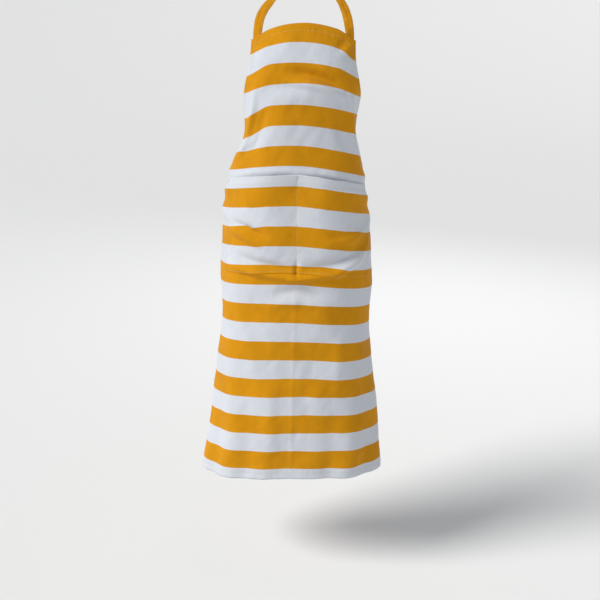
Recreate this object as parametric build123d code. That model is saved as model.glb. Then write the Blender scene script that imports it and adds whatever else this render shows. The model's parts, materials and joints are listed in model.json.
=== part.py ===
"""Full-length bib apron of striped canvas, in the shape it has when it is worn and tied.

Units are millimetres. The origin is the middle of the neck strap at the nape, +Z is up and the
front of the apron faces -Y. Left and right are as seen from the front: left is -X. Every cloth
piece is cut flat and laid on one worn surface: u runs across the cloth from its centre line and v
runs down it from the bib's top edge, both measured along the cloth. Offsets are measured outwards
from the back of the main panel, so the panel fills 0 to CLOTH and hems have negative offsets.
"""
from build123d import *

import math
import os
from functools import lru_cache

# Cloth and its cut
STRIPE_PITCH = 96.0            # one coloured and one white stripe
STRIPES = 12                   # coloured stripes, the first one at the bib's top edge
WHITE_AT_HEM = 27.0            # what is left of the last white stripe
LENGTH = STRIPE_PITCH * (STRIPES - 0.5) + WHITE_AT_HEM
CLOTH = 0.8                    # thickness of the canvas
GAP = 0.35                     # air between the pocket or thread and the cloth they are sewn to
HEM_GAP = 0.8                  # air between the cloth and its turned edges
TAPE_GAP = 1.3                 # air between a hem and a flat tape sewn over it
BIB_HALF = 124.0               # half the bib's width at its top edge
SKIRT_HALF = 355.0             # half the skirt's width, side edge to centre line
ARMHOLE_DEPTH = 330.0          # from the bib's top edge down to the waist corner
ARMHOLE_POWER = 2.2            # how late the armhole sweeps outwards
CORNER_ROUND = 8.0             # softens the waist corner

# Hems and facings, all turned to the back of the cloth
TOP_HEM = 22.0
SIDE_HEM = 13.0
BOTTOM_HEM = 20.0
FACING = 14.0
EDGE_SET = 1.0                 # a hem stops this far inside the cut edge

# Pocket
POCKET_TOP = 354.0
POCKET_DEPTH = 240.0
POCKET_HALF = 200.0
POCKET_HEM = 24.0
POCKET_GAPE = 11.0             # how far each compartment stands open at its mouth
POCKET_LEAN = 0.7              # brings the widest part of each gape nearer the divider
MOUTH_CLEAR = 24.0             # the mouth's hem stops this far from the seams, where the gape shuts

# Tapes
TAPE = 22.0                    # width of the neck strap
TAPE_THICK = 1.6               # folded and stitched
STRAP_AT = 112.0               # the neck strap's ends, from the centre line
STRAP_LAP = 30.0               # how much of each end is sewn to the bib
TIE = 25.0                     # width of the waist ties
TIE_LAP = 30.0
NAPE_RISE = 110.0              # nape above the bib's top edge at the centre
BOW_Y = 119.0                  # the bow's middle, behind the origin
BOW_DROP = 6.0                 # the bow below the waist corners
KNOT_RADIUS = 13.0
KNOT_DEEP = 20.0
KNOT_ROUND = 5.0
CLEAR = 0.7                    # between the knot and the tapes that move beside it
TIE_Y = BOW_Y - 6.0            # where both ties enter the knot
LOOP_Y = BOW_Y + 4.0
LOOP_REACH = 92.0              # from the knot's middle to a loop's far end
LOOP_OPEN = 13.0
LOOP_NECK = 12.0               # width of the gathered tape beside the knot
LOOP_DROOP = 28.0              # degrees below level, where the loops rest
TAIL_LENGTH = 330.0
TAIL_AT = 11.0                 # each tail's centre line from the middle
TAIL_START = 4.0               # the tails start this far above the knot's middle, hidden behind it

# Thread
THREAD = 0.9
THREAD_THICK = 0.35

# The worn shape: what each value is at stations down the cloth (v, value)
HALF_WIDTH = [(0, 220), (75, 178), (150, 143), (220, 133), (265, 145), (330, 163), (430, 180),
              (600, 192), (700, 188), (800, 198), (1140, 236)]
FLATNESS = [(0, 1.6), (150, 1.7), (330, 1.6), (600, 1.8), (1140, 2.2)]
CURL = [(0, 0.002), (150, 0.003), (330, 0.006), (525, 0.006), (800, 0.003), (1140, 0.002)]
FRONT_Y = [(0, -95), (80, -126), (150, -146), (250, -144), (330, -138), (450, -142),
           (600, -150), (800, -156), (1000, -166), (1140, -172)]
SIDE_SAG = [(0, 64), (80, 46), (150, 34), (330, 32), (525, 21), (700, 16), (900, 12), (1140, 8)]
SAG_AT = 200.0                 # the distance from the centre line at which SIDE_SAG is measured


def along(stations, v):
    """A smooth value at v through the stations."""
    last = len(stations) - 2
    i = next((k for k in range(last + 1) if v < stations[k + 1][0]), last)

    def slope(k):
        a, b = stations[max(k - 1, 0)], stations[min(k + 1, last + 1)]
        return (b[1] - a[1]) / (b[0] - a[0])

    (v0, y0), (v1, y1) = stations[i], stations[i + 1]
    span = v1 - v0
    t = (v - v0) / span
    rise = t * t * (3 - 2 * t)
    ease = span * (t * (1 - t) ** 2 * slope(i) - t * t * (1 - t) * slope(i + 1))
    return y0 + (y1 - y0) * rise + ease


def cut_half(v):
    """Half the cloth's width at v: the armhole's curve above the waist corner, then straight."""
    armhole = BIB_HALF + (SKIRT_HALF - BIB_HALF) * (max(v, 0.0) / ARMHOLE_DEPTH) ** ARMHOLE_POWER
    gap = armhole - SKIRT_HALF
    if gap > 12 * CORNER_ROUND:
        return SKIRT_HALF
    return SKIRT_HALF - CORNER_ROUND * math.log1p(math.exp(-gap / CORNER_ROUND))


@lru_cache(maxsize=None)
def flat_and_deep(power):
    """How wide and how deep a section of unit length comes out for a flatness."""
    steps = 200
    turn = [math.pi / 2 * ((k + 0.5) / steps) ** power for k in range(steps)]
    return sum(map(math.cos, turn)) / steps, sum(map(math.sin, turn)) / steps


@lru_cache(maxsize=None)
def front_z(v):
    """Height of the centre line, so that its length along the cloth is v."""
    steps = max(1, round(v / 5))
    z, step = -NAPE_RISE, v / steps
    for k in range(steps):
        dy = along(FRONT_Y, (k + 1) * step) - along(FRONT_Y, k * step)
        z -= math.sqrt(step * step - dy * dy) if step > 0 else 0.0
    return z


@lru_cache(maxsize=None)
def worn(u, v):
    """The point of the worn surface at (u, v)."""
    power, curl = along(FLATNESS, v), along(CURL, v)
    widest = along(HALF_WIDTH, v) / flat_and_deep(round(power, 3))[0]
    steps = 60
    step = abs(u) / steps
    x = y = 0.0
    for k in range(steps):
        s = (k + 0.5) * step
        if s < widest:
            turn = math.pi / 2 * (s / widest) ** power
        else:
            turn = math.pi / 2 + curl * (s - widest)
        x += step * math.cos(turn)
        y += step * math.sin(turn)
    t = abs(u) / SAG_AT
    sag = along(SIDE_SAG, v) * 1.5 * t * t / (1 + 0.5 * t * t)
    return math.copysign(x, u), along(FRONT_Y, v) + y, front_z(v) - sag


def outward(u, v):
    """The unit normal that points away from the wearer."""
    h = 1.0
    a, b = Vector(*worn(u + h, v)), Vector(*worn(u - h, v))
    c, d = Vector(*worn(u, v + h)), Vector(*worn(u, max(v - h, 0.0)))
    return (c - d).cross(a - b).normalized()


def along_u(u, v):
    """The direction across the cloth."""
    return (Vector(*worn(u + 1, v)) - Vector(*worn(u - 1, v))).normalized()


def on_cloth(u, v, offset=0.0):
    """A point offset outwards from the worn surface."""
    return Vector(*worn(u, v)) + outward(u, v) * offset


def closed(front, back):
    """The solid between two faces whose four edges match."""
    sides = []
    left = list(back.edges())
    for edge in front.edges():
        mate = min(left, key=lambda e: (e.center() - edge.center()).length)
        left.remove(mate)
        sides.append(Face.make_surface_from_curves(edge, mate))
    body = Solid(Shell([front, back, *sides]))
    return body if body.volume > 0 else Solid(body.wrapped.Reversed())


def spread(low, high, count):
    return [low + (high - low) * k / (count - 1) for k in range(count)]


def skin(rows):
    """A smooth face through rows of points, each row splined with the same spacing."""
    steps = spread(0, 1, len(rows[0]))
    return Shell.make_loft([Wire([Edge.make_spline(row, parameters=steps)]) for row in rows]).face()


def layer(rows, inner, outer, columns=9):
    """A layer of cloth. rows is a list of (v, u_low, u_high); inner and outer are offsets, numbers
    or functions of u and v."""
    def value(offset, u, v):
        return offset(u, v) if callable(offset) else offset

    def grid(offset):
        points = []
        for v, low, high in rows:
            us = [low + (high - low) * k / (columns - 1) for k in range(columns)]
            points.append([on_cloth(u, v, value(offset, u, v)) for u in us])
        return points

    return closed(skin(grid(outer)), skin(grid(inner)))


def ribbon(middle, across, width, thick):
    """A tape along a spline through middle, its width along the across directions. width is a
    number, or a function of how far along the tape it is, from 0 to 1."""
    line = Spline(*middle)
    spans = len(middle) - 1
    front, back = [], []
    for share in spread(0, 1, 6 * spans + 1):
        at, way = line @ share, (line % share).normalized()
        i = min(int(share * spans), spans - 1)
        t = share * spans - i
        side = Vector(*across[i]) * (1 - t) + Vector(*across[i + 1]) * t
        side = (side - way * side.dot(way)).normalized()
        face = side.cross(way).normalized() * (thick / 2)
        half = (width(share) if callable(width) else width) / 2
        places = [at + side * w for w in spread(-half, half, 4)]
        front.append([p + face for p in places])
        back.append([p - face for p in places])
    return closed(skin(front), skin(back))


def mirrored(part):
    return part.mirror(Plane.YZ)


def band(v_low, v_high, u_low, u_high, inner, outer, rows=12, columns=6):
    """A layer between two heights and two widths; each width is a number or a function of v."""
    def at(limit, v):
        return limit(v) if callable(limit) else limit

    lines = [(v, at(u_low, v), at(u_high, v)) for v in spread(v_low, v_high, rows)]
    return layer(lines, inner, outer, columns)


# Offsets of each layer behind and in front of the panel
HEM_LAYER = (-HEM_GAP - CLOTH, -HEM_GAP)
TAPE_MIDDLE = HEM_LAYER[0] - TAPE_GAP - TAPE_THICK / 2
FACE_THREAD = (CLOTH + GAP, CLOTH + GAP + THREAD_THICK)


def main_panel():
    """The one cut piece that is both bib and skirt."""
    rows = [(v, -cut_half(v), cut_half(v)) for v in spread(0, LENGTH, 61)]
    return layer(rows, 0, CLOTH, columns=33)


def hems():
    """The turned edges, each one stopping where the next one starts."""
    def edge(v):
        return cut_half(v) - EDGE_SET

    waist = ARMHOLE_DEPTH + 6
    left = {
        "armhole_facing": band(TOP_HEM + 4, waist, lambda v: edge(v) - FACING, edge, *HEM_LAYER,
                               24),
        "side_hem": band(waist + 1, LENGTH - BOTTOM_HEM - 3, lambda v: edge(v) - SIDE_HEM, edge,
                         *HEM_LAYER, 24),
    }
    parts = {}
    for name, part in left.items():
        parts[name + "_right"] = part
        parts[name + "_left"] = mirrored(part)
    parts["bib_top_hem"] = band(EDGE_SET, TOP_HEM, lambda v: -edge(v), edge, *HEM_LAYER, 5, 21)
    parts["bottom_hem"] = band(LENGTH - BOTTOM_HEM - 1, LENGTH - EDGE_SET, lambda v: -edge(v), edge,
                               *HEM_LAYER, 5, 41)
    return parts


def pocket_room(u, v):
    """How far the pocket stands off the panel: closed along its seams and at the divider."""
    across = min(abs(u) / POCKET_HALF, 1.0)
    down = min(max((v - POCKET_TOP) / POCKET_DEPTH, 0.0), 1.0)
    swell = math.sin(math.pi * across ** POCKET_LEAN) ** 2
    return CLOTH + GAP + POCKET_GAPE * swell * math.cos(math.pi / 2 * down)


def pocket():
    """A wide patch pocket with a seam down its middle, and the hem of its mouth behind it."""
    def face(u, v):
        return pocket_room(u, v) + CLOTH

    def hem_face(u, v):
        return pocket_room(u, v) - GAP

    def hem_back(u, v):
        return hem_face(u, v) - CLOTH

    rows = [(v, -POCKET_HALF, POCKET_HALF)
            for v in spread(POCKET_TOP, POCKET_TOP + POCKET_DEPTH, 17)]
    parts = {"pocket_panel": layer(rows, pocket_room, face, columns=41)}
    for side, sign in (("left", -1), ("right", 1)):
        low, high = sorted((sign * MOUTH_CLEAR, sign * (POCKET_HALF - 2 * MOUTH_CLEAR)))
        parts["pocket_mouth_hem_" + side] = band(POCKET_TOP + EDGE_SET, POCKET_TOP + POCKET_HEM,
                                                 low, high, hem_back, hem_face, 5, 17)
    return parts


def neck_strap():
    """One tape from bib corner to bib corner, up over the shoulders and round the nape. The across
    directions follow the edge that is outermost on the bib and lowest at the nape."""
    right = [tuple(on_cloth(STRAP_AT, v, TAPE_MIDDLE)) for v in (STRAP_LAP, STRAP_LAP / 2, 0)]
    right += [(104, -71, -109), (97, -60, -84), (85, -48, -60), (68, -35, -37), (48, -17, -13), (25, -4, -1)]
    across = [tuple(along_u(STRAP_AT, v)) for v in (STRAP_LAP, STRAP_LAP / 2, 0)]
    across += [(1, 0.25, 0.2), (1, 0.25, 0.1), (0.95, 0.3, -0.15), (0.9, 0.35, -0.45), (0.5, 0.4, -0.8),
               (0.15, 0.45, -0.9)]
    left = [(-x, y, z) for x, y, z in reversed(right)]
    across_left = [(-x, y, z) for x, y, z in reversed(across)]
    return ribbon(right + [(0, 0, 0)] + left, across + [(0, 0.5, -0.87)] + across_left, TAPE,
                  TAPE_THICK)


def bow_height():
    return worn(SKIRT_HALF, ARMHOLE_DEPTH)[2] - BOW_DROP


def waist_tie():
    """The right tie, from where it is sewn at the waist corner to the knot."""
    level = ARMHOLE_DEPTH + TIE / 2 + 6
    sewn = [tuple(on_cloth(SKIRT_HALF - d, level, TAPE_MIDDLE))
            for d in (TIE_LAP, TIE_LAP / 2, 0)]
    x, y, z = sewn[-1]
    drop = bow_height() - z
    free = [(x * (1 - far), y + rise * (TIE_Y - y), z + far * drop)
            for far, rise in ((0.3, 0.55), (0.6, 0.88))]
    free.append((KNOT_RADIUS + CLEAR, TIE_Y, bow_height()))
    up = (Vector(*worn(SKIRT_HALF, level - 5)) - Vector(*worn(SKIRT_HALF, level + 5))).normalized()
    across = [tuple(up)] * len(sewn) + [(0, 0, 1)] * len(free)
    return ribbon(sewn + free, across, TIE, TAPE_THICK)


def bow_loop():
    """The right loop, a tape that leaves the knot, turns and comes back, at its resting droop."""
    start, half = KNOT_RADIUS + CLEAR, LOOP_OPEN / 2
    pinch = TAPE_THICK * 0.8
    out = [(start, pinch), (start + 22, half * 0.75), (LOOP_REACH - 30, half),
           (LOOP_REACH - 6, half * 0.75)]
    middle = [(x, LOOP_Y + y, 0) for x, y in out] + [(LOOP_REACH, LOOP_Y, 0)]
    middle += [(x, LOOP_Y - y, 0) for x, y in reversed(out)]

    def width(share):
        near = min(share, 1 - share) * 5
        return LOOP_NECK + (TIE - LOOP_NECK) * math.sin(math.pi / 2 * min(near, 1.0))

    tape = ribbon(middle, [(0, 0, 1)] * len(middle), width, TAPE_THICK)
    return Pos(0, 0, bow_height()) * tape.rotate(Axis.Y, LOOP_DROOP)


def tie_tail(x, y):
    """A tail that hangs straight down behind the knot."""
    top = bow_height() + TAIL_START
    middle = [(x, y, top - TAIL_LENGTH * share) for share in (0, 0.25, 0.5, 0.75, 1)]
    return ribbon(middle, [(1, 0, 0)] * len(middle), TIE, TAPE_THICK)


def bow():
    """The knot, its two loops and its two tails, each tail in a plane of its own."""
    knot = Rot(90, 0, 0) * Cylinder(KNOT_RADIUS, KNOT_DEEP)
    knot = Pos(0, BOW_Y, bow_height()) * fillet(knot.edges(), KNOT_ROUND)
    behind = BOW_Y - KNOT_DEEP / 2 - CLEAR - TAPE_THICK / 2
    loop = bow_loop()
    return {
        "bow_knot": knot,
        "bow_loop_right": loop,
        "bow_loop_left": mirrored(loop),
        "tie_tail_right": tie_tail(TAIL_AT, behind),
        "tie_tail_left": tie_tail(-TAIL_AT, behind - TAPE_THICK - CLEAR),
    }


def threads():
    """The rows of stitching that show on the face."""
    low, high = FACE_THREAD

    def inside(distance):
        return lambda v: cut_half(v) - distance

    def on_pocket(lift):
        return lambda u, v: pocket_room(u, v) + lift

    edge = band(TOP_HEM, LENGTH - BOTTOM_HEM, inside(11 + THREAD), inside(11), low, high, 48, 4)
    side = POCKET_HALF - 4
    bottom = POCKET_TOP + POCKET_DEPTH - 4
    pocket_face = (on_pocket(low), on_pocket(high))
    seams = [band(POCKET_TOP + 3, bottom - 3, s * side - THREAD / 2, s * side + THREAD / 2,
                  *pocket_face, 12, 4) for s in (-1, 1)]
    seams.append(band(bottom, bottom + THREAD, -side, side, *pocket_face, 4, 25))
    parts = {
        "edge_thread_right": edge,
        "edge_thread_left": mirrored(edge),
        "bib_top_thread": band(18, 18 + THREAD, lambda v: 13 - cut_half(v), inside(13), low, high,
                               4, 17),
        "bottom_hem_thread": band(LENGTH - 17, LENGTH - 17 + THREAD, lambda v: 13 - cut_half(v),
                                  inside(13), low, high, 4, 33),
        "pocket_seam_thread": Compound(seams),
        "pocket_divider_thread": band(POCKET_TOP + 3, bottom - 3, -THREAD / 2, THREAD / 2,
                                      *pocket_face, 16, 4),
    }
    for name, sign in (("left", -1), ("right", 1)):
        ends = sorted((sign * (STRAP_AT - 8), sign * (STRAP_AT + 8)))
        bars = [band(v, v + THREAD, *ends, low, high, 4, 4) for v in (4, 12, 20)]
        parts["strap_tack_" + name] = Compound(bars)
        ends = [sorted((sign * (SKIRT_HALF - d), sign * (SKIRT_HALF - d - THREAD)))
                for d in (20, 25, 30)]
        level = ARMHOLE_DEPTH + 9
        bars = [band(level, level + TIE - 4, *pair, low, high, 4, 4) for pair in ends]
        parts["tie_tack_" + name] = Compound(bars)
    return parts


def build():
    tie = waist_tie()
    parts = {"apron_panel": main_panel(), "neck_strap": neck_strap(), "waist_tie_right": tie,
             "waist_tie_left": mirrored(tie)}
    for group in (hems(), pocket(), bow(), threads()):
        parts.update(group)
    return parts


os.makedirs("parts", exist_ok=True)
for name, part in build().items():
    export_step(part, f"parts/{name}.step")
print(f"cloth {LENGTH:.0f} long, {2 * SKIRT_HALF:.0f} wide, bow at {bow_height():.1f}")
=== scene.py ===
"""Looks of a full-length bib apron in broad yellow and white stripes, in the shape it has when it
is worn and tied at the back.

Metres throughout. u runs across the cloth from its centre line and v runs down it from the bib's
top edge, both measured along the cloth. Lift is the distance outwards from the back of the panel.
"""

import json
import math

import bpy
import numpy as np
from mathutils import Matrix, Vector


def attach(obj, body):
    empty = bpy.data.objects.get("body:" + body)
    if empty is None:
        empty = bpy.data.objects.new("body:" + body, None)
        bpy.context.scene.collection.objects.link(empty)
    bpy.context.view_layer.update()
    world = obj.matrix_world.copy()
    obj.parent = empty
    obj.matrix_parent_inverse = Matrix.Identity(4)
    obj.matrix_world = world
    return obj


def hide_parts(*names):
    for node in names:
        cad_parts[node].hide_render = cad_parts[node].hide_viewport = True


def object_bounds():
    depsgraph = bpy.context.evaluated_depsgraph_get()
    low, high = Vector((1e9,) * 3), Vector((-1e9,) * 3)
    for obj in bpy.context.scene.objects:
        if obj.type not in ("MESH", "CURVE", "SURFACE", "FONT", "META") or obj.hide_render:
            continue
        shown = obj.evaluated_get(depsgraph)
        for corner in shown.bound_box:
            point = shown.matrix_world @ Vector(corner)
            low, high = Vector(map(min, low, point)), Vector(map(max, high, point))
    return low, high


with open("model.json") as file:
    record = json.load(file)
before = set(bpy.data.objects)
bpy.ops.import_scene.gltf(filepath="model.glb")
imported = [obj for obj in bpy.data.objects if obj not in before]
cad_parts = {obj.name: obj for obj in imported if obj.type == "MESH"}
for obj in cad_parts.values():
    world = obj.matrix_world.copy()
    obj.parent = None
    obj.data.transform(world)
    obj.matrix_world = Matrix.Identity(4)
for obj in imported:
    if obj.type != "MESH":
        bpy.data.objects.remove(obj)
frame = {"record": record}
CAD_BOX = [[float(x) for x in corner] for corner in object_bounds()]
rng = np.random.default_rng(11)

SIDES = ((-1, "left"), (1, "right"))
JOINTS = {joint["name"]: joint for joint in frame["record"]["behaviour"]["joints"]}

# The cut
STRIPE_PITCH = 0.096
STRIPES = 12                   # yellow ones
STRIPE_START = 0.0015          # how much of the first stripe is turned over the bib's top edge
LAST_WHITE = 0.0285
LENGTH = STRIPE_PITCH * (STRIPES - 0.5) - STRIPE_START + LAST_WHITE
CLOTH = 0.0008
BIB_HALF = 0.124
SKIRT_HALF = 0.355
ARMHOLE_DEPTH = 0.33
ARMHOLE_POWER = 2.2
CORNER_ROUND = 0.008
NAPE_RISE = 0.11

# Turned edges: how deep each is and how far its stitching is from the fold
SIDE_TURN, SIDE_STITCH = 0.0135, 0.011
TOP_TURN, TOP_STITCH = 0.022, 0.018
BOTTOM_TURN, BOTTOM_STITCH = 0.021, 0.0175
PLY_AIR = 0.0003               # air between cloths that are sewn together
TURN_GAP = 0.00025             # air between the cloth and its turned edge
OVER_TURN = 0.0012             # the same where one turned edge lies over the end of another
TURN_THICK = 0.001             # a turned edge's inner leg, which is folded twice
BEHIND = -(TURN_GAP + TURN_THICK)
TURN_STEP = 0.0031             # from one row of points to the next

# Pocket
POCKET_TOP, POCKET_DEPTH, POCKET_HALF = 0.354, 0.24, 0.2
POCKET_GAPE = 0.0075
POCKET_LEAN = 0.7
POCKET_STITCH = 0.004
MOUTH_TURN, MOUTH_STITCH = 0.0235, 0.02
POCKET_TURN = 0.0008           # how much thicker the pocket's turned rim is

# Tapes
STRAP_WIDTH, TIE_WIDTH, TAPE_THICK = 0.022, 0.025, 0.0017
STRAP_AT, STRAP_LAP, TIE_LAP = 0.112, 0.03, 0.03
STRAP_CUP = 0.0006             # room for the strap's cupped shape
SEWN_ON = BEHIND - PLY_AIR - TAPE_THICK / 2      # the lift of a tape sewn behind a turned edge

# The worn shape at stations down the cloth
HALF_WIDTH = [(0, 0.226), (0.075, 0.181), (0.15, 0.143), (0.22, 0.133), (0.265, 0.145),
              (0.33, 0.163), (0.43, 0.179), (0.6, 0.19), (0.7, 0.185), (0.8, 0.194),
              (1.14, 0.233)]
FLATNESS = [(0, 1.6), (0.15, 1.7), (0.33, 1.6), (0.6, 1.8), (1.14, 2.2)]
CURL = [(0, 2), (0.15, 3), (0.33, 6), (0.525, 6), (0.8, 3), (1.14, 2)]
FRONT_Y = [(0, -0.095), (0.08, -0.126), (0.15, -0.146), (0.25, -0.144), (0.33, -0.138),
           (0.45, -0.142), (0.6, -0.15), (0.8, -0.156), (1.000, -0.166), (1.14, -0.172)]
SIDE_SAG = [(0, 0.064), (0.08, 0.046), (0.15, 0.034), (0.33, 0.032), (0.525, 0.021),
            (0.7, 0.016), (0.9, 0.012), (1.14, 0.008)]
SAG_AT = 0.2
# Where the cloth at a side slumps: side, how far, over which u, and between which v
SLUMPS = ((1, 0.015, 0.076, 0.128, -0.03, 0.1), (-1, 0.009, 0.076, 0.126, -0.03, 0.07),
          (-1, 0.013, 0.072, 0.136, 0.04, 0.17), (-1, 0.023, 0.07, 0.146, 0.13, 0.31),
          (1, 0.009, 0.08, 0.138, 0.05, 0.17))
# How the two sides differ, which no wearer stands square enough to avoid
RIGHT_DROP = [(0, -0.006), (0.08, 0.001), (0.525, 0.003), (0.7, 0), (0.9, -0.005),
              (1.14, -0.01)]
LEAN = [(0, 0), (0.15, 0.001), (0.4, -0.004), (0.7, 0.003), (1.14, 0.004)]


# ---- shape of the worn cloth

def along(stations, v):
    """A smooth value at each v through the stations."""
    at, value = np.array(stations, float).T
    v = np.asarray(v, float)
    i = np.clip(np.searchsorted(at, v, side="right") - 1, 0, len(at) - 2)
    slope = np.empty_like(value)
    slope[1:-1] = (value[2:] - value[:-2]) / (at[2:] - at[:-2])
    slope[0] = (value[1] - value[0]) / (at[1] - at[0])
    slope[-1] = (value[-1] - value[-2]) / (at[-1] - at[-2])
    span = at[i + 1] - at[i]
    t = (v - at[i]) / span
    rise = (value[i + 1] - value[i]) * t * t * (3 - 2 * t)
    return value[i] + rise + span * (t * (1 - t) ** 2 * slope[i] - t * t * (1 - t) * slope[i + 1])


def smooth(x, low, high):
    t = np.clip((np.asarray(x, float) - low) / (high - low), 0, 1)
    return t * t * (3 - 2 * t)


def cut_half(v):
    """Half the cloth's width at v."""
    v = np.asarray(v, float)
    armhole = BIB_HALF + (SKIRT_HALF - BIB_HALF) * (np.clip(v, 0, None) / ARMHOLE_DEPTH) ** ARMHOLE_POWER
    gap = np.clip(armhole - SKIRT_HALF, None, 12 * CORNER_ROUND)
    return SKIRT_HALF - CORNER_ROUND * np.log1p(np.exp(-gap / CORNER_ROUND))


def cut_slope(v):
    return (cut_half(v + 0.0005) - cut_half(v - 0.0005)) / 0.001


def unevenness(u, v, cell_u, cell_v, seed):
    """Smooth random waves between -1 and 1, with cells of the given size."""
    cells = 256
    lattice = np.random.default_rng(seed).uniform(-1, 1, (cells, cells))
    x, y = np.asarray(u) / cell_u + 100.5, np.asarray(v) / cell_v + 3.5
    i, j = np.floor(x).astype(int), np.floor(y).astype(int)
    a, b = x - i, y - j
    a, b = a * a * (3 - 2 * a), b * b * (3 - 2 * b)

    def corner(di, dj):
        return lattice[(i + di) % cells, (j + dj) % cells]

    top = corner(0, 0) * (1 - a) + corner(1, 0) * a
    low = corner(0, 1) * (1 - a) + corner(1, 1) * a
    return top * (1 - b) + low * b


def fold(u, v, route, width, height):
    """A soft ridge along a route of (u, v) points, fading out at both ends. A negative height
    makes a hollow."""
    best = np.full(np.shape(u), 1e9)
    place = np.zeros(np.shape(u))
    spans = len(route) - 1
    for k, ((u0, v0), (u1, v1)) in enumerate(zip(route, route[1:])):
        du, dv = u1 - u0, v1 - v0
        t = np.clip(((u - u0) * du + (v - v0) * dv) / (du * du + dv * dv), 0, 1)
        far = np.hypot(u - u0 - t * du, v - v0 - t * dv)
        place = np.where(far < best, (k + t) / spans, place)
        best = np.minimum(best, far)
    return height * np.exp(-(best / width) ** 2) * np.sin(np.pi * np.clip(place, 0.03, 0.97))


def edge_distance(u, v):
    """The distance from the side edge, square to it."""
    return (cut_half(v) - np.abs(u)) / np.sqrt(1 + cut_slope(v) ** 2)


PUCKER, PUCKER_PITCH, PUCKER_WIDTH = 0.00042, 0.0125, 0.0075
GROOVE, GROOVE_WIDTH = 0.00022, 0.0012


def seam_pull(u, v):
    """Grooves where stitching sinks in, and the small puckers beside it."""
    run = np.linspace(-0.02, LENGTH + 0.02, 1200)
    length = np.cumsum(np.sqrt(1 + cut_slope(run) ** 2)) * (run[1] - run[0])
    inside_u, inside_v = np.abs(u) < POCKET_HALF, (v > POCKET_TOP) & (v < POCKET_TOP + POCKET_DEPTH)
    rise = np.zeros(np.shape(u))
    for distance, place, where in (
        (edge_distance(u, v) - SIDE_STITCH, np.interp(v, run, length), True),
        (v - TOP_STITCH, u, True),
        (LENGTH - v - BOTTOM_STITCH, u, True),
        (POCKET_HALF - POCKET_STITCH - np.abs(u), v, inside_v),
        (POCKET_TOP + POCKET_DEPTH - POCKET_STITCH - v, u, inside_u),
        (np.abs(u), v, inside_v),
    ):
        close = np.exp(-(distance / PUCKER_WIDTH) ** 2) * where
        wander = 9 * unevenness(place, distance * 0, 0.045, 1.0, 21)
        strength = 0.6 + 0.6 * unevenness(place, distance * 0, 0.07, 1.0, 22)
        rise += PUCKER * close * strength * np.sin(place * 2 * np.pi / PUCKER_PITCH + wander)
        rise -= GROOVE * np.exp(-(distance / GROOVE_WIDTH) ** 2) * where
    return rise


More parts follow.
